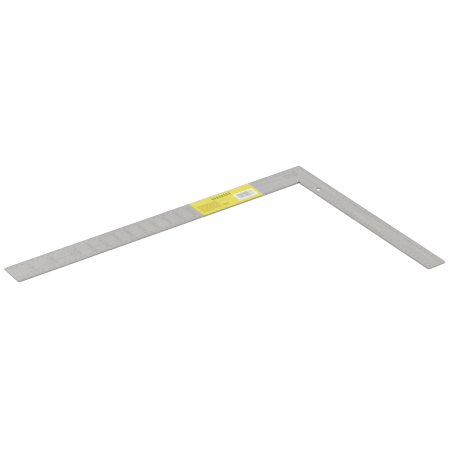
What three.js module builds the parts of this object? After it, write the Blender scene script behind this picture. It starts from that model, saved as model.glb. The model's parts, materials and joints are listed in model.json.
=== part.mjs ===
// A flat steel square: one stamped L of sheet steel with a long, wide blade and a
// shorter, narrower tongue, a hanging hole, and a paper label stuck on the blade.
//
// Frame, in millimetres: the outer corner of the heel is the origin, the blade lies
// along +X, the tongue along +Y, and the underside lies in the plane Z = 0.

import * as THREE from "three";

// ---- Driving dimensions (mm) ----

// The two legs of the L, measured along and across their outer edges: the blade is
// 24 by 2 inches and the tongue 16 by 1.5 inches.
const BLADE_LENGTH = 609.6;
const BLADE_WIDTH = 50.8;
const TONGUE_LENGTH = 406.4;
const TONGUE_WIDTH = 38.1;
const PLATE_THICKNESS = 2;

// Rounded corners of the stamped outline.
const HEEL_RADIUS = 1;
const BLADE_TIP_OUTER_RADIUS = 1.5;
const BLADE_TIP_INNER_RADIUS = 3.5;
const TONGUE_TIP_RADIUS = 3.5;
// The sharp edge left by the press is ground off all round, on both faces.
const EDGE_BREAK = 0.2;

// A round notch clears the inner corner, so that a square piece of work seats fully.
const RELIEF_DIAMETER = 3.5;

// The hole that the square hangs on.
const HANGING_HOLE_DIAMETER = 8;
const HANGING_HOLE_FROM_INNER_EDGE = 13.4;
const HANGING_HOLE_FROM_BLADE = 39.4;

// The label: a paper face on a film of adhesive, across the whole blade but for a margin.
const LABEL_LENGTH = 127;
const LABEL_FROM_HEEL = 116.2;
const LABEL_EDGE_MARGIN = 1.4;
const LABEL_CORNER_RADIUS = 1.5;
const ADHESIVE_THICKNESS = 0.05;
const LABEL_FACE_THICKNESS = 0.15;

// The barcode sticker on the label, near the heel end and the blade's inner edge.
const STICKER_LENGTH = 40;
const STICKER_WIDTH = 22.5;
const STICKER_CORNER_RADIUS = 1.5;
const STICKER_THICKNESS = 0.1;
const STICKER_FROM_LABEL_END = 5.5;
const STICKER_FROM_LABEL_TOP = 7.8;

// Half the number of straight pieces that stand for each arc of an outline.
const ARC_SEGMENTS = 12;

// ---- Materials ----

const brushedSteel = new THREE.MeshStandardMaterial({
  color: 0xbbbab7,
  roughness: 0.38,
  metalness: 0.95,
});
const clearAdhesive = new THREE.MeshStandardMaterial({
  color: 0xd9d6c4,
  roughness: 0.6,
  metalness: 0,
});
const yellowPaper = new THREE.MeshStandardMaterial({
  color: 0xe8de58,
  roughness: 0.45,
  metalness: 0,
});
const whitePaper = new THREE.MeshStandardMaterial({
  color: 0xeeeef0,
  roughness: 0.55,
  metalness: 0,
});

// ---- Outlines ----

// Rounds a convex corner while an outline runs anticlockwise. (x, y) is the sharp
// corner, and quarter counts the right angles from +X at which the arc starts.
function roundCorner(outline, x, y, radius, quarter) {
  const start = (quarter * Math.PI) / 2;
  const middle = start + Math.PI / 4;
  const centreX = x - Math.SQRT2 * radius * Math.cos(middle);
  const centreY = y - Math.SQRT2 * radius * Math.sin(middle);
  outline.absarc(centreX, centreY, radius, start, start + Math.PI / 2, false);
}

function roundedRectangle(length, width, radius) {
  const outline = new THREE.Shape();
  roundCorner(outline, length, 0, radius, 3);
  roundCorner(outline, length, width, radius, 0);
  roundCorner(outline, 0, width, radius, 1);
  roundCorner(outline, 0, 0, radius, 2);
  outline.closePath();
  return outline;
}

// Runs anticlockwise from the blade's tip, round the tongue, to the heel.
function squareOutline() {
  const outline = new THREE.Shape();
  roundCorner(outline, BLADE_LENGTH, 0, BLADE_TIP_OUTER_RADIUS, 3);
  roundCorner(outline, BLADE_LENGTH, BLADE_WIDTH, BLADE_TIP_INNER_RADIUS, 0);
  // Three quarters of the relief notch's circle lie in the plate.
  const reliefRadius = RELIEF_DIAMETER / 2;
  outline.absarc(TONGUE_WIDTH, BLADE_WIDTH, reliefRadius, 0, -1.5 * Math.PI, true);
  roundCorner(outline, TONGUE_WIDTH, TONGUE_LENGTH, TONGUE_TIP_RADIUS, 0);
  roundCorner(outline, 0, TONGUE_LENGTH, TONGUE_TIP_RADIUS, 1);
  roundCorner(outline, 0, 0, HEEL_RADIUS, 2);
  outline.closePath();
  return outline;
}

function hangingHole() {
  const hole = new THREE.Path();
  const x = TONGUE_WIDTH - HANGING_HOLE_FROM_INNER_EDGE;
  const y = BLADE_WIDTH + HANGING_HOLE_FROM_BLADE;
  hole.absarc(x, y, HANGING_HOLE_DIAMETER / 2, 0, 2 * Math.PI, true);
  return hole;
}

// ---- Solids ----

function namedMesh(name, geometry, material) {
  const mesh = new THREE.Mesh(geometry, material);
  mesh.name = name;
  return mesh;
}

// The stamped plate keeps its full outline at mid thickness, and its edge break
// steps in from there towards each face.
function steelSquare() {
  const outline = squareOutline();
  outline.holes.push(hangingHole());
  const geometry = new THREE.ExtrudeGeometry(outline, {
    depth: PLATE_THICKNESS - 2 * EDGE_BREAK,
    bevelEnabled: true,
    bevelThickness: EDGE_BREAK,
    bevelSize: EDGE_BREAK,
    bevelOffset: -EDGE_BREAK,
    bevelSegments: 1,
    curveSegments: ARC_SEGMENTS,
  });
  const square = namedMesh("steel_square", geometry, brushedSteel);
  square.position.z = EDGE_BREAK;
  return square;
}

// A flat layer with rounded corners, its lower face at Z = 0.
function sheetLayer(name, length, width, radius, thickness, material) {
  const geometry = new THREE.ExtrudeGeometry(roundedRectangle(length, width, radius), {
    depth: thickness,
    bevelEnabled: false,
    curveSegments: ARC_SEGMENTS,
  });
  return namedMesh(name, geometry, material);
}

// The label's layers, from the steel up: adhesive, paper face, barcode sticker.
function productLabel() {
  const width = BLADE_WIDTH - 2 * LABEL_EDGE_MARGIN;
  const radius = LABEL_CORNER_RADIUS;
  const adhesive = sheetLayer(
    "label_adhesive",
    LABEL_LENGTH,
    width,
    radius,
    ADHESIVE_THICKNESS,
    clearAdhesive,
  );
  const face = sheetLayer(
    "label_face",
    LABEL_LENGTH,
    width,
    radius,
    LABEL_FACE_THICKNESS,
    yellowPaper,
  );
  face.position.z = ADHESIVE_THICKNESS;
  const sticker = sheetLayer(
    "barcode_sticker",
    STICKER_LENGTH,
    STICKER_WIDTH,
    STICKER_CORNER_RADIUS,
    STICKER_THICKNESS,
    whitePaper,
  );
  sticker.position.set(
    STICKER_FROM_LABEL_END,
    width - STICKER_FROM_LABEL_TOP - STICKER_WIDTH,
    ADHESIVE_THICKNESS + LABEL_FACE_THICKNESS,
  );
  const label = new THREE.Group();
  label.add(adhesive, face, sticker);
  label.position.set(LABEL_FROM_HEEL, LABEL_EDGE_MARGIN, PLATE_THICKNESS);
  return label;
}

const square = new THREE.Group();
square.add(steelSquare(), productLabel());

export default square;
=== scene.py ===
"""A flat steel square with stamped scales and tables, and a printed paper label.

Everything is in metres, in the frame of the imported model: the outer corner of the
heel is the origin, the blade lies along +X, the tongue along +Y, and +Z is up.
"""

import json
import math
import random

import bpy
from mathutils import Matrix, Vector


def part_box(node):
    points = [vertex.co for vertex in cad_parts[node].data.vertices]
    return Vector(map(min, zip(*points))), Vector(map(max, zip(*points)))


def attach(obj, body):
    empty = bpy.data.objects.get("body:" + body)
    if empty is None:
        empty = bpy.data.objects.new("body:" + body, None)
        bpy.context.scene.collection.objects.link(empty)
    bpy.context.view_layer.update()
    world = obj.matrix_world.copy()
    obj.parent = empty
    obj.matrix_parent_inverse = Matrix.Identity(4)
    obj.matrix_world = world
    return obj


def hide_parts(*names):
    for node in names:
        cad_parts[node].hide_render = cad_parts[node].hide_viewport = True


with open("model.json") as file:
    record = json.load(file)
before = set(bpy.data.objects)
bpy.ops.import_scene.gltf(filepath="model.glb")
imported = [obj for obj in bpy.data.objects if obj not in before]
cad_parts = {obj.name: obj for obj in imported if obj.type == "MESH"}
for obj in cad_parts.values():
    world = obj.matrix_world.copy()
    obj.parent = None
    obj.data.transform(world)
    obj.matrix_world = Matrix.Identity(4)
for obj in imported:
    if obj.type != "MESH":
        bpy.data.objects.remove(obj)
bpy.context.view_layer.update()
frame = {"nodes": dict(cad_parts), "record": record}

# ---- Sizes ----

MM = 0.001
CENTIMETRE = 10 * MM
INCH = 25.4 * MM
# Places nearer to each other than this are the same place.
TINY = 0.01 * MM

MOUNTS = {mount["name"]: Vector(mount["pos_m"]) for mount in frame["record"]["mounts"]}
OPENINGS = {
    opening["name"]: [Vector(corner) for corner in opening["box_m"]]
    for opening in frame["record"]["physics"]["openings"]
}

# The L-shaped plate.
PLATE_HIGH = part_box("steel_square")[1]
BLADE_LENGTH = PLATE_HIGH.x
BLADE_WIDTH = MOUNTS["blade_inner_edge"].y
TONGUE_LENGTH = PLATE_HIGH.y
TONGUE_WIDTH = MOUNTS["tongue_inner_edge"].x
THICKNESS = PLATE_HIGH.z
HEEL_RADIUS = 1 * MM
BLADE_TIP_OUTER_RADIUS = 1.5 * MM
BLADE_TIP_INNER_RADIUS = 3.5 * MM
TONGUE_TIP_RADIUS = 3.5 * MM
EDGE_BREAK = 0.2 * MM
RELIEF_RADIUS = 1.75 * MM
HANGING_HOLE_RADIUS = 4 * MM
HANGING_HOLE_CENTRE = (OPENINGS["hanging_hole"][0] + OPENINGS["hanging_hole"][1]) / 2

# The stamped marks.
MARK_DEPTH = 0.1 * MM
GROOVE_WIDTH = 0.3 * MM
# The width of a groove's floor, as a share of its width at the surface.
GROOVE_FLOOR = 0.4
SHORT_TICK = 3.2 * MM
HALF_TICK = 4.3 * MM
LONG_TICK = 5.6 * MM
# Ticks near the heel are kept to this share of their distance from it.
HEEL_TICK_SHARE = 0.8
# A scale stops this far short of the tip.
TIP_CLEARANCE = 3 * MM
DIGIT_HEIGHT = 2.5 * MM
DIGIT_PITCH = 0.78 * DIGIT_HEIGHT
# A digit's height, as a share of the size of its type.
DIGIT_SHARE = 0.70
# Points of a digit's outline that are nearer than this are merged.
DIGIT_MERGE = 0.002 * MM
NUMBER_FROM_EDGE = 7.6 * MM
# Figures on the top of the blade are read with the tongue pointing at the reader.
TOP_READS = math.pi
SIGN_BEFORE_NUMBER = 2.2 * MM
TABLE_FIRST_INCH = 10
TABLE_LAST_INCH = 18
TABLE_ROWS = 6
TABLE_LOWEST_ROW = 12.4 * MM
TABLE_ROW_PITCH = 5.2 * MM
# The heads lie between the rows, this share of a row up.
TABLE_HEAD_RISE = 0.35
TABLE_HEAD_PLACES = (490 * MM, 534 * MM, 574 * MM)
TABLE_HEADS = (
    ("12 16 24", "10 18", "12"),
    ("17 12", "16 24", "17"),
    ("24 16 12", "12", "24 48"),
    ("8 12 16", "12 17", "32"),
    ("45 30", "16 12", "45 60"),
)

# The mark at the heel: a large row of inches, and a smaller row of millimetres.
HEEL_INCHES_Y = 17 * MM
HEEL_INCHES_SIZE = 2.4
HEEL_SIGN_X = 36 * MM
HEEL_SIGN_SIZE = 2
HEEL_MILLIMETRES_Y = 25.5 * MM
HEEL_MILLIMETRES_SIZE = 1.6

# The printed label: the lowest and highest corners of its two sheets.
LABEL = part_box("label_face")
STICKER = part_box("barcode_sticker")
INK = 0.012 * MM
# Ink starts this far inside the paper, so that no gap shows.
INK_SINK = 0.0025 * MM

# ---- Making shapes ----


def select_only(*objects):
    bpy.ops.object.select_all(action="DESELECT")
    for item in objects:
        item.select_set(True)
    bpy.context.view_layer.objects.active = objects[0]


def apply_place(*objects):
    """Moves the place, turn and size of each object into its mesh."""
    select_only(*objects)
    bpy.ops.object.transform_apply(location=True, rotation=True, scale=True)


def block(name, low, high):
    """A block between two corners, its place in its mesh."""
    low, high = Vector(low), Vector(high)
    bpy.ops.object.select_all(action="DESELECT")
    bpy.ops.mesh.primitive_cube_add(size=1, location=(low + high) / 2, scale=high - low)
    made = bpy.context.object
    made.name = name
    apply_place(made)
    return made


def drill(name, centre, radius):
    """A round bar that passes right through the plate."""
    bpy.ops.object.select_all(action="DESELECT")
    bpy.ops.mesh.primitive_cylinder_add(
        vertices=72,
        radius=radius,
        depth=3 * THICKNESS,
        location=(centre[0], centre[1], THICKNESS / 2),
    )
    made = bpy.context.object
    made.name = name
    apply_place(made)
    return made


def start_edit(piece, kind, parts, keep):
    """Opens a piece for editing with only the parts selected that keep says yes to."""
    select_only(piece)
    mesh = piece.data
    for group in (mesh.vertices, mesh.edges, mesh.polygons):
        group.foreach_set("select", [False] * len(group))
    for part in parts:
        part.select = keep(part)
    bpy.ops.object.mode_set(mode="EDIT")
    bpy.ops.mesh.select_mode(type=kind)


def edit_faces(piece, keep=lambda face: True):
    start_edit(piece, "FACE", piece.data.polygons, keep)


def edit_edges(piece, keep):
    start_edit(piece, "EDGE", piece.data.edges, keep)


def ends(piece, edge):
    return [piece.data.vertices[i].co for i in edge.vertices]


def leave_edit():
    bpy.ops.object.mode_set(mode="OBJECT")


def copy_of(piece, name):
    made = piece.copy()
    made.data = piece.data.copy()
    made.name = name
    bpy.context.collection.objects.link(made)
    return made


def joined(name, pieces):
    select_only(*pieces)
    if len(pieces) > 1:
        bpy.ops.object.join()
    made = bpy.context.object
    made.name = name
    return made


def cut(piece, cutter):
    """Takes the cutter's volume out of a piece. The new faces keep the cutter's material."""
    select_only(piece)
    modifier = piece.modifiers.new("cut", "BOOLEAN")
    modifier.operation = "DIFFERENCE"
    modifier.solver = "MANIFOLD"
    modifier.material_mode = "TRANSFER"
    modifier.object = cutter
    bpy.ops.object.modifier_apply(modifier=modifier.name)
    bpy.data.objects.remove(cutter)


def repeat(piece, count, step):
    select_only(piece)
    modifier = piece.modifiers.new("repeat", "ARRAY")
    modifier.count = count
    modifier.use_relative_offset = False
    modifier.use_constant_offset = True
    modifier.constant_offset_displace = step
    bpy.ops.object.modifier_apply(modifier=modifier.name)


# ---- Materials ----


def start_material(name):
    material = bpy.data.materials.new(name)
    material.use_nodes = True
    material.node_tree.nodes.clear()
    return material, material.node_tree


def start_group(name, inputs, outputs):
    """A node group that takes a place and named numbers, and gives out named masks."""
    tree = bpy.data.node_groups.new(name, "ShaderNodeTree")
    tree.interface.new_socket(name="Place", in_out="INPUT", socket_type="NodeSocketVector")
    for title, value in inputs.items():
        socket = tree.interface.new_socket(
            name=title, in_out="INPUT", socket_type="NodeSocketFloat"
        )
        socket.default_value = value
    for title in outputs:
        tree.interface.new_socket(name=title, in_out="OUTPUT", socket_type="NodeSocketFloat")
    return tree, tree.nodes.new("NodeGroupInput"), tree.nodes.new("NodeGroupOutput")


def add_node(tree, kind, inputs=None, **settings):
    """Adds a node, sets its settings, and fills or links its inputs by name or number."""
    made = tree.nodes.new(kind)
    for key, value in settings.items():
        setattr(made, key, value)
    for key, value in (inputs or {}).items():
        if isinstance(value, bpy.types.NodeSocket):
            tree.links.new(value, made.inputs[key])
        else:
            made.inputs[key].default_value = value
    return made


def noise(tree, place, scale, **inputs):
    """The value of a noise pattern, from 0 to 1."""
    inputs.update(Vector=place, Scale=scale)
    return add_node(tree, "ShaderNodeTexNoise", inputs).outputs["Fac"]


def maths(tree, operation, first, second=0.5, third=0.0):
    inputs = {0: first, 1: second, 2: third}
    return add_node(tree, "ShaderNodeMath", inputs, operation=operation).outputs[0]


def blend_colours(tree, amount, first, second):
    # On a colour mix, socket 0 is the amount, and 6 and 7 are the two colours.
    inputs = {0: amount, 6: first, 7: second}
    return add_node(tree, "ShaderNodeMix", inputs, data_type="RGBA").outputs[2]


def spread(tree, value, low, high, out_low=0.0, out_high=1.0):
    inputs = {0: value, 1: low, 2: high, 3: out_low, 4: out_high}
    return add_node(tree, "ShaderNodeMapRange", inputs).outputs[0]


def grinding_grain_group():
    """Long fine lines left by belt grinding, along each leg of the L, with faint clouds."""
    tree, inside, outside = start_group(
        "grinding_grain",
        {"Blade Width": BLADE_WIDTH, "Tongue Width": TONGUE_WIDTH},
        ["Lines", "Streaks", "Clouds", "Scratches"],
    )
    place = inside.outputs["Place"]
    # The two legs meet along the line from the heel to the inner corner.
    apart = add_node(tree, "ShaderNodeSeparateXYZ", {0: place}).outputs
    up_blade = maths(tree, "DIVIDE", apart[1], inside.outputs["Blade Width"])
    across_tongue = maths(tree, "DIVIDE", apart[0], inside.outputs["Tongue Width"])
    in_tongue = spread(tree, maths(tree, "SUBTRACT", up_blade, across_tongue), -0.03, 0.03)
    in_blade = maths(tree, "SUBTRACT", 1.0, in_tongue)

    def drawn_out(scale, start):
        stretched = add_node(
            tree,
            "ShaderNodeVectorMath",
            {0: place, 1: scale, 2: start},
            operation="MULTIPLY_ADD",
        )
        return noise(tree, stretched.outputs[0], 1.0, Detail=2.5, Roughness=0.6)

    def along_each_leg(across, along):
        """Noise drawn out along X on the blade and along Y on the tongue, in waves a metre."""
        on_blade = drawn_out((along, across, 1), (0, 0, 0))
        on_tongue = drawn_out((across, along, 1), (37, 11, 5))
        on_blade = maths(tree, "MULTIPLY", on_blade, in_blade)
        return maths(tree, "MULTIPLY_ADD", on_tongue, in_tongue, on_blade)

    clouds = noise(tree, place, 26.0, Detail=4.0, Roughness=0.62)
    tree.links.new(along_each_leg(across=3600.0, along=26.0), outside.inputs["Lines"])
    tree.links.new(along_each_leg(across=520.0, along=7.0), outside.inputs["Streaks"])
    tree.links.new(clouds, outside.inputs["Clouds"])

    # Hairlines from use cross the grain: the thin tips of noise drawn out at a slant.
    hairline_width = 0.45 * MM
    hairlines = []
    for slant, length in ((0.45, 38 * MM), (-1.05, 24 * MM)):
        turned = add_node(
            tree,
            "ShaderNodeMapping",
            {"Vector": place, "Rotation": (0, 0, slant), "Scale": (length, hairline_width, 1)},
            vector_type="TEXTURE",
        )
        waves = noise(tree, turned.outputs[0], 1.0, Detail=0.0)
        hairlines.append(spread(tree, waves, 0.765, 0.80))
    tree.links.new(maths(tree, "MAXIMUM", *hairlines), outside.inputs["Scratches"])
    return tree


def speckle_group():
    """Fine fibres or pits at one size, and slow patches ten times larger."""
    tree, inside, outside = start_group("speckle", {"Grain": 900.0}, ["Fine", "Patches"])
    place, grain = inside.outputs["Place"], inside.outputs["Grain"]
    fine = noise(tree, place, grain, Detail=3.0, Roughness=0.65)
    patches = noise(tree, place, maths(tree, "MULTIPLY", grain, 0.1), Detail=2.0)
    tree.links.new(fine, outside.inputs["Fine"])
    tree.links.new(patches, outside.inputs["Patches"])
    return tree


GRAIN = grinding_grain_group()
SPECKLE = speckle_group()


def object_place(tree):
    return add_node(tree, "ShaderNodeTexCoord").outputs["Object"]


def use_group(tree, group, place, **inputs):
    inputs.update(Place=place)
    return add_node(tree, "ShaderNodeGroup", inputs, node_tree=group).outputs


def round_notch(tree, place, full, gone):
    """A mask for painted shade in and around the relief notch: full, then gone, this many radii
    out.
    """
    centre = (TONGUE_WIDTH, BLADE_WIDTH, THICKNESS / 2)
    away = add_node(
        tree, "ShaderNodeVectorMath", {0: place, 1: centre}, operation="DISTANCE"
    ).outputs["Value"]
    return spread(tree, away, full * RELIEF_RADIUS, gone * RELIEF_RADIUS, 1.0, 0.0)


def finish_surface(tree, colour, roughness, height, depth, constants=None):
    """The surface shader, with the constants set on its own sockets."""
    bump = add_node(tree, "ShaderNodeBump", {"Height": height, "Distance": depth, "Strength": 0.6})
    inputs = {"Base Color": colour, "Roughness": roughness, "Normal": bump.outputs[0]}
    surface = add_node(tree, "ShaderNodeBsdfPrincipled", {**inputs, **(constants or {})})
    add_node(tree, "ShaderNodeOutputMaterial", {0: surface.outputs[0]})


def ground_steel():
    """The two flat faces: belt-ground steel with faint patches of light oil and handling, and
    painted shade around the relief notch.
    """
    material, tree = start_material("ground_steel")
    place = object_place(tree)
    grain = use_group(tree, GRAIN, place)
    tone = blend_colours(
        tree,
        spread(tree, grain["Clouds"], 0.35, 0.68),
        (0.422, 0.413, 0.404, 1),
        (0.472, 0.466, 0.454, 1),
    )
    tone = blend_colours(
        tree,
        spread(tree, grain["Streaks"], 0.38, 0.64),
        tone,
        (0.531, 0.525, 0.509, 1),
    )
    valleys = spread(tree, grain["Lines"], 0.34, 0.7, 0.5, 0.0)
    tone = blend_colours(tree, valleys, tone, (0.361, 0.354, 0.341, 1))
    scratched = spread(tree, grain["Scratches"], 0.0, 1.0, 0.0, 0.32)
    tone = blend_colours(tree, scratched, tone, (0.62, 0.612, 0.59, 1))
    # Painted shade: the face is darkened nearly to black around the relief notch, standing in for
    # the shade inside it.
    painted_notch_shade = round_notch(tree, place, 1.15, 1.9)
    tone = blend_colours(tree, painted_notch_shade, tone, (0.05, 0.046, 0.04, 1))
    roughness = maths(
        tree,
        "ADD",
        spread(tree, grain["Lines"], 0.3, 0.7, 0.33, 0.47),
        spread(tree, grain["Clouds"], 0.3, 0.7, -0.04, 0.05),
    )
    finish_surface(tree, tone, roughness, grain["Lines"], 0.012 * MM, {"Metallic": 1.0})
    return material


def sheared_edge():
    """The thin sides: burnished above by the press, and torn rough below, all far darker than the
    faces: partly a sheared finish, partly painted shade.
    """
    material, tree = start_material("sheared_edge")
    place = object_place(tree)
    marks = use_group(tree, SPECKLE, place, Grain=2600.0)
    height = add_node(tree, "ShaderNodeSeparateXYZ", {0: place}).outputs[2]
    waver = spread(tree, marks["Patches"], 0.3, 0.7, -0.2 * MM, 0.2 * MM)
    burnished = spread(tree, maths(tree, "ADD", height, waver), 1.05 * MM, 1.35 * MM)
    # Both tones are far darker than the ground faces: partly the sheared finish, partly painted
    # shade standing in for the darker surroundings that the upright sides reflect.
    tone = blend_colours(tree, burnished, (0.20, 0.195, 0.187, 1), (0.31, 0.305, 0.298, 1))
    pits = spread(tree, marks["Fine"], 0.35, 0.7, 0.0, 0.5)
    tone = blend_colours(tree, pits, tone, (0.12, 0.116, 0.11, 1))
    # Painted shade: the sides are darkened nearly to black at the relief notch, standing in for
    # the shade inside it.
    painted_notch_shade = round_notch(tree, place, 1.2, 1.7)
    tone = blend_colours(tree, painted_notch_shade, tone, (0.018, 0.016, 0.014, 1))
    roughness = spread(tree, burnished, 0.0, 1.0, 0.62, 0.4)
    finish_surface(tree, tone, roughness, marks["Fine"], 0.04 * MM, {"Metallic": 1.0})
    return material


def stamped_mark():
    """The walls and floors of the stamped marks, darkened by oil and dust, and darkened further as
    painted shade in the recesses.
    """
    material, tree = start_material("stamped_mark")
    marks = use_group(tree, SPECKLE, object_place(tree), Grain=3200.0)
    # Painted shade in part: these tones are darker than the faces, both for oil and dust and for
    # the shade inside the recesses.
    tone = blend_colours(
        tree,
        spread(tree, marks["Patches"], 0.3, 0.7),
        (0.305, 0.300, 0.291, 1),
        (0.380, 0.374, 0.364, 1),
    )
    dust = spread(tree, marks["Fine"], 0.4, 0.7, 0.0, 0.4)
    tone = blend_colours(tree, dust, tone, (0.13, 0.126, 0.12, 1))
    roughness = spread(tree, marks["Fine"], 0.3, 0.7, 0.45, 0.7)
    finish_surface(tree, tone, roughness, marks["Fine"], 0.02 * MM, {"Metallic": 0.9})
    return material


def label_sheet(name, base, light, fibre, roughness, constants=None):
    """Label stock or ink: a base colour, slow lighter patches, and faint fibres."""
    material, tree = start_material(name)
    marks = use_group(tree, SPECKLE, object_place(tree), Grain=1500.0)
    tone = blend_colours(tree, spread(tree, marks["Patches"], 0.3, 0.7), (*base, 1), (*light, 1))
    fibres = spread(tree, marks["Fine"], 0.45, 0.75, 0.0, 0.35)
    tone = blend_colours(tree, fibres, tone, (*fibre, 1))
    uneven = spread(tree, marks["Patches"], 0.25, 0.75, roughness - 0.05, roughness + 0.07)
    finish_surface(tree, tone, uneven, marks["Fine"], 0.006 * MM, constants)
    return material


STEEL = ground_steel()
SHEARED_AND_SHADED = sheared_edge()
STAMPED = stamped_mark()
ADHESIVE = label_sheet(
    "label_adhesive_film",
    base=(0.60, 0.57, 0.42),
    light=(0.68, 0.65, 0.52),
    fibre=(0.5, 0.46, 0.3),
    roughness=0.6,
)
YELLOW = label_sheet(
    "yellow_label_paper",
    base=(0.647, 0.578, 0.045),
    light=(0.678, 0.609, 0.054),
    fibre=(0.585, 0.513, 0.033),
    roughness=0.42,
)
WHITE = label_sheet(
    "white_sticker_paper",
    base=(0.725, 0.725, 0.694),
    light=(0.764, 0.764, 0.736),
    fibre=(0.663, 0.663, 0.636),
    roughness=0.48,
)
MUSTARD_INK = label_sheet(
    "mustard_ink",
    base=(0.613, 0.526, 0.022),
    light=(0.643, 0.554, 0.029),
    fibre=(0.546, 0.457, 0.017),
    roughness=0.4,
)
DARK_INK = label_sheet(
    "dark_ink",
    base=(0.020, 0.018, 0.014),
    light=(0.034, 0.031, 0.023),
    fibre=(0.07, 0.065, 0.04),
    roughness=0.55,
    constants={"Specular IOR Level": 0.25},
)
OLIVE_INK = label_sheet(
    "olive_ink",
    base=(0.27, 0.215, 0.014),
    light=(0.30, 0.24, 0.018),
    fibre=(0.34, 0.28, 0.02),
    roughness=0.5,
)
BARCODE_INK = label_sheet(
    "barcode_ink",
    base=(0.15, 0.165, 0.18),
    light=(0.18, 0.195, 0.21),
    fibre=(0.24, 0.25, 0.26),
    roughness=0.5,
)

# ---- The stamped plate ----


def round_corner(plate, x, y, radius):
    """Rounds one upright corner of the outline."""

    def at_corner(edge):
        return all(abs(end.x - x) < TINY and abs(end.y - y) < TINY for end in ends(plate, edge))

    edit_edges(plate, at_corner)
    bpy.ops.mesh.bevel(offset=radius, segments=10, affect="EDGES")
    leave_edit()


def blank_plate():
    """The L cut from sheet: a blade block, with the tongue pulled out of its inner edge."""
    plate = block("stamped_square", (0, 0, 0), (BLADE_LENGTH, BLADE_WIDTH, THICKNESS))
    plate.data.materials.append(STEEL)
    edit_faces(plate)
    bpy.ops.mesh.bisect(plane_co=(TONGUE_WIDTH, 0, 0), plane_no=(1, 0, 0))
    leave_edit()
    edit_faces(plate, lambda face: face.normal.y > 0.9 and face.center.x < TONGUE_WIDTH)
    bpy.ops.mesh.extrude_region_move(
        TRANSFORM_OT_translate={"value": (0, TONGUE_LENGTH - BLADE_WIDTH, 0)}
    )
    leave_edit()
    round_corner(plate, 0, 0, HEEL_RADIUS)
    round_corner(plate, BLADE_LENGTH, 0, BLADE_TIP_OUTER_RADIUS)
    round_corner(plate, BLADE_LENGTH, BLADE_WIDTH, BLADE_TIP_INNER_RADIUS)
    round_corner(plate, TONGUE_WIDTH, TONGUE_LENGTH, TONGUE_TIP_RADIUS)
    round_corner(plate, 0, TONGUE_LENGTH, TONGUE_TIP_RADIUS)
    cut(plate, drill("relief_drill", (TONGUE_WIDTH, BLADE_WIDTH), RELIEF_RADIUS))
    cut(plate, drill("hole_drill", HANGING_HOLE_CENTRE, HANGING_HOLE_RADIUS))
    break_edges(plate)
    return plate


def break_edges(plate):
    """Grinds the sharp edge off the outline and the hole, on both faces."""
    sides = {False: set(), True: set()}
    for face in plate.data.polygons:
        sides[abs(face.normal.z) < 0.5].update(face.edge_keys)
    outline = sides[False] & sides[True]
    edit_edges(plate, lambda edge: edge.key in outline)
    bpy.ops.mesh.bevel(offset=EDGE_BREAK, segments=3, affect="EDGES")
    leave_edit()


# ---- Cutters for the stamped marks ----


def tick_cutter():
    """A bar 1 mm long along +Y from the origin, narrower at its deep side."""
    half = GROOVE_WIDTH / 2
    bar = block("tick_cutter", (-half, 0, -MARK_DEPTH), (half, MM, MARK_DEPTH))
    edit_faces(bar, lambda face: face.normal.z < -0.9)
    bpy.ops.transform.resize(
        value=(GROOVE_FLOOR, 1, 1), center_override=(0, MM / 2, -MARK_DEPTH)
    )
    leave_edit()
    bar.data.materials.append(STAMPED)
    return bar


def digit_cutter(character, roundness):
    """One digit as a solid, DIGIT_HEIGHT tall, centred across and on its height."""
    bpy.ops.object.select_all(action="DESELECT")
    bpy.ops.object.text_add()
    digit = bpy.context.object
    digit.data.body = character
    digit.data.size = DIGIT_HEIGHT / DIGIT_SHARE
    digit.data.resolution_u = roundness
    digit.data.extrude = MARK_DEPTH
    digit.data.align_x = "CENTER"
    bpy.ops.object.convert(target="MESH")
    digit.location.y = -DIGIT_HEIGHT / 2
    apply_place(digit)
    edit_faces(digit)
    bpy.ops.mesh.remove_doubles(threshold=DIGIT_MERGE)
    bpy.ops.mesh.normals_make_consistent(inside=False)
    leave_edit()
    digit.name = "digit_cutter_" + character
    digit.data.materials.clear()
    digit.data.materials.append(STAMPED)
    return digit


def corner_cutter():
    """A small right triangle, the sign of a square, DIGIT_HEIGHT on its short sides."""
    half = DIGIT_HEIGHT / 2
    sign = block("corner_cutter", (-half, -half, -MARK_DEPTH), (half, half, MARK_DEPTH))
    edit_faces(sign)
    bpy.ops.mesh.bisect(
        plane_co=(0, 0, 0), plane_no=(1, 1, 0), use_fill=True, clear_outer=True
    )
    leave_edit()
    sign.data.materials.append(STAMPED)
    return sign


class Stamps:
    """The master cutters, and the copies of them laid out on one face of the plate."""

    def __init__(self):
        self.tick = tick_cutter()
        self.small_digits = {c: digit_cutter(c, roundness=2) for c in "0123456789"}
        self.large_digits = {c: digit_cutter(c, roundness=8) for c in "01246"}
        self.corner = corner_cutter()
        self.laid = []

    def lay(self, master, x, y, turn, below, size=(1, 1, 1)):
        """Lays a copy of a cutter at (x, y), turned about Z, on the top or the underside."""
        made = copy_of(master, master.name + "_laid")
        made.location = (x, y, 0 if below else THICKNESS)
        made.rotation_euler = (math.pi if below else 0, 0, turn)
        made.scale = size
        self.laid.append(made)

    def number(self, text, x, y, turn, below, size=1.0):
        """Lays a row of digits centred on (x, y), read along the direction of turn."""
        digits = self.small_digits if size == 1 else self.large_digits
        for place, character in enumerate(text):
            if character == " ":
                continue
            shift = (place - (len(text) - 1) / 2) * DIGIT_PITCH * size
            self.lay(
                digits[character],
                x + shift * math.cos(turn),
                y + shift * math.sin(turn),
                turn,
                below,
                (size, size, 1),
            )

    def take(self, name):
        """All the copies laid since the last take, as one cutter."""
        apply_place(*self.laid)
        cutter = joined(name, self.laid)
        self.laid = []
        return cutter

    def put_away(self):
        digits = (*self.small_digits.values(), *self.large_digits.values())
        for master in (self.tick, self.corner, *digits):
            bpy.data.objects.remove(master)


def tick_length(millimetre):
    if millimetre % 10 == 0:
        return LONG_TICK
    return HALF_TICK if millimetre % 5 == 0 else SHORT_TICK


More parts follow.
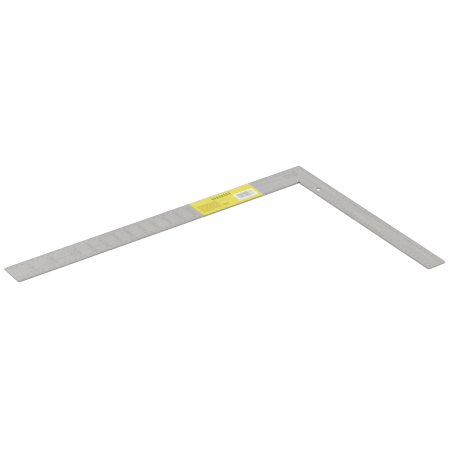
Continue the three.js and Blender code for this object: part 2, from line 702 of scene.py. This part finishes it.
def graduate(stamps, start, along, into, length, below, from_heel):
    """One scale: a centimetre of ticks repeated along an edge. Returns its cutters."""
    # A cutter's own +Y points into the plate; on the underside it is turned over first.
    turn = math.atan2(into.y, into.x) - math.pi / 2
    if below:
        turn += math.pi
    whole = int(length / CENTIMETRE)
    spare = int((length - whole * CENTIMETRE - TIP_CLEARANCE) / MM)

    def ticks(name, numbers):
        for k in numbers:
            reach = tick_length(k)
            if from_heel:
                reach = min(reach, HEEL_TICK_SHARE * k * MM)
            # Each cutter starts 1 mm outside the edge.
            spot = start + along * k * MM - into * MM
            stamps.lay(stamps.tick, spot.x, spot.y, turn, below, (1, (reach + MM) / MM, 1))
        return stamps.take(name)

    # At the inner corner, the first ticks would fall in the relief notch.
    clear = 0 if from_heel else RELIEF_RADIUS + GROOVE_WIDTH
    cutters = [ticks("first_centimetre", [k for k in range(1, 11) if k * MM > clear])]
    middle = ticks("centimetre", range(11, 21))
    repeat(middle, whole - 1, along * CENTIMETRE)
    cutters.append(middle)
    if spare > 0:
        following = whole * 10 + 1
        cutters.append(ticks("last_ticks", range(following, following + spare)))
    return cutters


def number_scale(stamps, start, along, into, length, turn, below):
    """The centimetre numbers of a scale, each at the end of its long tick."""
    count = int((length - TIP_CLEARANCE) / CENTIMETRE)
    for number in range(1, count + 1):
        spot = start + along * number * CENTIMETRE + into * NUMBER_FROM_EDGE
        stamps.number(str(number), spot.x, spot.y, turn, below)


def stamp_scales(plate, stamps, below):
    """The four millimetre scales of one face, with their numbers."""
    on_blade = 0 if below else TOP_READS
    on_tongue = -math.pi / 2 if below else math.pi / 2
    heel, inner = Vector((0, 0, 0)), Vector((TONGUE_WIDTH, BLADE_WIDTH, 0))
    x, y = Vector((1, 0, 0)), Vector((0, 1, 0))
    # Each scale: its zero, its direction, the way its ticks point, its length and its numbers.
    scales = (
        (heel, x, y, BLADE_LENGTH, on_blade),
        (heel, y, x, TONGUE_LENGTH, on_tongue),
        (inner, x, -y, BLADE_LENGTH - TONGUE_WIDTH, on_blade),
        (inner, y, -x, TONGUE_LENGTH - BLADE_WIDTH, on_tongue),
    )
    for start, along, into, length, turn in scales:
        for cutter in graduate(stamps, start, along, into, length, below, start is heel):
            cut(plate, cutter)
        number_scale(stamps, start, along, into, length, turn, below)
        cut(plate, stamps.take("scale_numbers"))


def table_value(row, inch):
    """Slants and angles for a rise of this many inches to the foot, as four plain digits."""
    foot = 12
    slant = math.hypot(foot, inch)
    values = (
        slant,
        math.hypot(slant, foot),
        slant * 16 / foot,
        slant * 24 / foot,
        math.degrees(math.atan2(inch, foot)),
        math.degrees(math.atan2(foot, slant)),
    )
    return f"{round(values[row] * 100):04d}"


def stamp_table(plate, stamps):
    """Columns of figures down the middle of the blade, one at each inch."""
    for inch in range(TABLE_FIRST_INCH, TABLE_LAST_INCH + 1):
        for row in range(TABLE_ROWS):
            y = TABLE_LOWEST_ROW + row * TABLE_ROW_PITCH
            stamps.number(table_value(row, inch), inch * INCH, y, TOP_READS, below=False)
    cut(plate, stamps.take("table_columns"))
    # What each row holds: a row of figures, with the sign of a square beside it.
    for row, figures in enumerate(TABLE_HEADS):
        y = TABLE_LOWEST_ROW + (row + TABLE_HEAD_RISE) * TABLE_ROW_PITCH
        for x, text in zip(TABLE_HEAD_PLACES, figures):
            stamps.number(text, x, y, TOP_READS, below=False)
            sign_x = x - DIGIT_PITCH * len(text) / 2 - SIGN_BEFORE_NUMBER
            stamps.lay(stamps.corner, sign_x, y, TOP_READS, below=False)
    cut(plate, stamps.take("table_heads"))


def stamp_heel(plate, stamps):
    """The lengths of the two legs, in inches beside a corner sign and in millimetres."""
    for text, x, y, size in (
        ("24", 45.5 * MM, HEEL_INCHES_Y, HEEL_INCHES_SIZE),
        ("16", 27 * MM, HEEL_INCHES_Y, HEEL_INCHES_SIZE),
        ("610", 44 * MM, HEEL_MILLIMETRES_Y, HEEL_MILLIMETRES_SIZE),
        ("406", 29 * MM, HEEL_MILLIMETRES_Y, HEEL_MILLIMETRES_SIZE),
    ):
        stamps.number(text, x, y, TOP_READS, False, size)
    sign_size = (HEEL_SIGN_SIZE, HEEL_SIGN_SIZE, 1)
    stamps.lay(stamps.corner, HEEL_SIGN_X, HEEL_INCHES_Y, TOP_READS, False, sign_size)
    cut(plate, stamps.take("heel_mark"))


def finish_plate(plate):
    """Gives the sheared sides their own darker finish, partly painted shade, and smooths the
    rounded outline.
    """
    plate.data.materials.append(SHEARED_AND_SHADED)
    sheared_shaded_index = plate.data.materials.find(SHEARED_AND_SHADED.name)
    stamped = plate.data.materials.find(STAMPED.name)
    select_only(plate)
    bpy.ops.object.shade_smooth_by_angle(angle=math.radians(30))
    for face in plate.data.polygons:
        if face.material_index == stamped or abs(face.normal.z) > 0.999:
            face.use_smooth = False
        elif abs(face.normal.z) < 0.3:
            face.material_index = sheared_shaded_index


def steel_square():
    plate = blank_plate()
    stamps = Stamps()
    stamp_scales(plate, stamps, below=False)
    stamp_table(plate, stamps)
    stamp_heel(plate, stamps)
    stamp_scales(plate, stamps, below=True)
    stamps.put_away()
    finish_plate(plate)
    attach(plate, "root")
    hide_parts("steel_square")


steel_square()

# ---- The printed label ----

for node, paper in (
    ("label_adhesive", ADHESIVE),
    ("label_face", YELLOW),
    ("barcode_sticker", WHITE),
):
    for slot in frame["nodes"][node].material_slots:
        slot.material = paper


def ink_block(name, sheet, x, y, length, width, lift=0, thickness=INK):
    """A flat bar of ink. Its place is in mm from the sheet's lowest corner."""
    low, high = sheet
    start = Vector((low.x + x * MM, low.y + y * MM, high.z + lift - INK_SINK))
    size = Vector((length * MM, width * MM, INK_SINK + thickness))
    return block(name, start, start + size)


def print_bars(name, sheet, bars, ink, lift=0):
    """A layer of ink: a flat bar for each (x, y, length, width), in mm on the sheet."""
    made = joined(name, [ink_block(name, sheet, *bar, lift=lift) for bar in bars])
    made.data.materials.append(ink)
    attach(made, "root")


def title_ticks():
    """A bold ruler motif: broad ticks standing on a line, with a fine one between."""
    left, top, foot, line = 46.3, 6.4, 13.0, 0.55
    pitch, broad, fine, short = 5.2, 1.65, 0.32, 3.6
    gaps = 7
    bars = [(left, foot, gaps * pitch + broad, line)]
    for k in range(gaps + 1):
        bars.append((left + k * pitch, top, broad, foot - top))
        if k < gaps:
            x = left + k * pitch + (pitch + broad - fine) / 2
            bars.append((x, foot - short, fine, short))
    print_bars("title_ticks", LABEL, bars, DARK_INK)


def mustard_panel():
    """A darker panel with rounded corners, at the end of the label away from the sticker."""
    panel = ink_block(
        "mustard_panel", LABEL, x=79.8, y=16.1, length=44, width=26.5, thickness=INK / 2
    )
    panel.data.materials.append(MUSTARD_INK)

    def upright(edge):
        one, other = ends(panel, edge)
        return abs(one.z - other.z) > INK / 2

    edit_edges(panel, upright)
    bpy.ops.mesh.bevel(offset=2 * MM, segments=6, affect="EDGES")
    leave_edit()
    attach(panel, "root")


def strokes(seed, start, stop, rows, height, longest):
    """Rows of short strokes of seeded lengths, standing for print that says nothing."""
    lengths = random.Random(seed)
    bars = []
    for y in rows:
        x = start
        while x < stop:
            length = min(lengths.uniform(0.3, 1) * longest, stop - x)
            bars.append((x, y, length, height))
            x += length + lengths.uniform(0.5, 0.8) * longest ** 0.5
    return bars


def small_print():
    """Two groups of rows between the title and the panel."""
    bars = strokes(7, 67.8, 78.8, (34.5, 36.5, 38.5), height=0.95, longest=3.2)
    bars += strokes(8, 61.8, 77.8, (22.1, 24.6), height=0.4, longest=3.0)
    print_bars("small_print", LABEL, bars, DARK_INK)


def panel_lines():
    """Six rows of print on the mustard panel."""
    rows = [18.6 + 3.7 * row for row in range(6)]
    bars = strokes(9, 82.8, 120.8, rows, height=1.1, longest=7.0)
    print_bars("panel_lines", LABEL, bars, OLIVE_INK, lift=INK / 2)


def barcode():
    """Upright bars of seeded widths, between the sticker's clear margins."""
    widths = random.Random(31)
    size = (STICKER[1] - STICKER[0]) / MM
    left, right, foot, head = 3.5, 4.0, 3.0, 3.5
    bars = []
    x = left
    while x < size.x - right:
        width = widths.choice((0.3, 0.3, 0.6, 0.9))
        bars.append((x, foot, width, size.y - foot - head))
        x += width + widths.choice((0.3, 0.6, 0.9))
    print_bars("barcode", STICKER, bars, BARCODE_INK)


title_ticks()
mustard_panel()
panel_lines()
small_print()
barcode()

# ---- Floor, light and camera ----


def floor():
    bpy.ops.object.select_all(action="DESELECT")
    bpy.ops.mesh.primitive_plane_add(size=40, location=(0, 0, -0.02 * MM))
    sheet = bpy.context.object
    sheet.name = "floor"
    material, tree = start_material("pale_floor")
    marks = use_group(tree, SPECKLE, object_place(tree), Grain=40.0)
    tone = blend_colours(
        tree,
        spread(tree, marks["Patches"], 0.3, 0.7),
        (0.97, 0.97, 0.97, 1),
        (0.985, 0.985, 0.985, 1),
    )
    # A lightbox sheet: a faint glow keeps the contact shade beside the steel soft.
    matt = add_node(tree, "ShaderNodeBsdfDiffuse", {"Color": tone})
    glow = add_node(tree, "ShaderNodeEmission", {"Color": (1, 1, 1, 1), "Strength": 0.12})
    surface = add_node(tree, "ShaderNodeAddShader", {0: matt.outputs[0], 1: glow.outputs[0]})
    add_node(tree, "ShaderNodeOutputMaterial", {0: surface.outputs[0]})
    sheet.data.materials.append(material)


def soft_box(name, place, target, size, power):
    lamp = bpy.data.lights.new(name, "AREA")
    lamp.shape = "RECTANGLE"
    lamp.size, lamp.size_y = size
    lamp.energy = power
    stand = bpy.data.objects.new(name, lamp)
    bpy.context.collection.objects.link(stand)
    stand.location = place
    stand.rotation_euler = (Vector(target) - Vector(place)).to_track_quat("-Z", "Y").to_euler()


def studio():
    """Even white light all round, a broad soft box above, and a small one by the blade."""
    world = bpy.data.worlds.new("studio")
    world.use_nodes = True
    background = world.node_tree.nodes["Background"]
    background.inputs["Color"].default_value = (1, 1, 1, 1)
    background.inputs["Strength"].default_value = 1.07
    bpy.context.scene.world = world
    middle = (0.3, 0.15, 0)
    soft_box("overhead", (0.3, 0.2, 3.0), middle, size=(3.0, 3.0), power=10)
    soft_box("blade_side", (0.3, -2.3, 1.5), middle, size=(1.4, 1.2), power=3)
    bpy.context.scene.view_settings.view_transform = "Standard"
    bpy.context.scene.view_settings.look = "None"


def camera():
    """A long lens that looks down into the open side of the L, turned a little on its axis."""
    azimuth = math.radians(145.5172)
    elevation = math.radians(30.7847)
    roll = math.radians(0.4222)
    target = Vector((0.23, 0.09427, 0))
    distance = 2.9392073
    turn = (
        Matrix.Rotation(azimuth, 4, "Z")
        @ Matrix.Rotation(math.pi / 2 - elevation, 4, "X")
        @ Matrix.Rotation(-roll, 4, "Z")
    )
    lens = bpy.data.cameras.new("camera")
    lens.sensor_width = 36.0
    lens.lens = 136.4505
    lens.clip_start = 0.01
    lens.clip_end = 100
    eye = bpy.data.objects.new("camera", lens)
    bpy.context.collection.objects.link(eye)
    eye.matrix_world = Matrix.Translation(target + turn.to_3x3() @ Vector((0, 0, distance))) @ turn
    bpy.context.scene.camera = eye


floor()
studio()
camera()
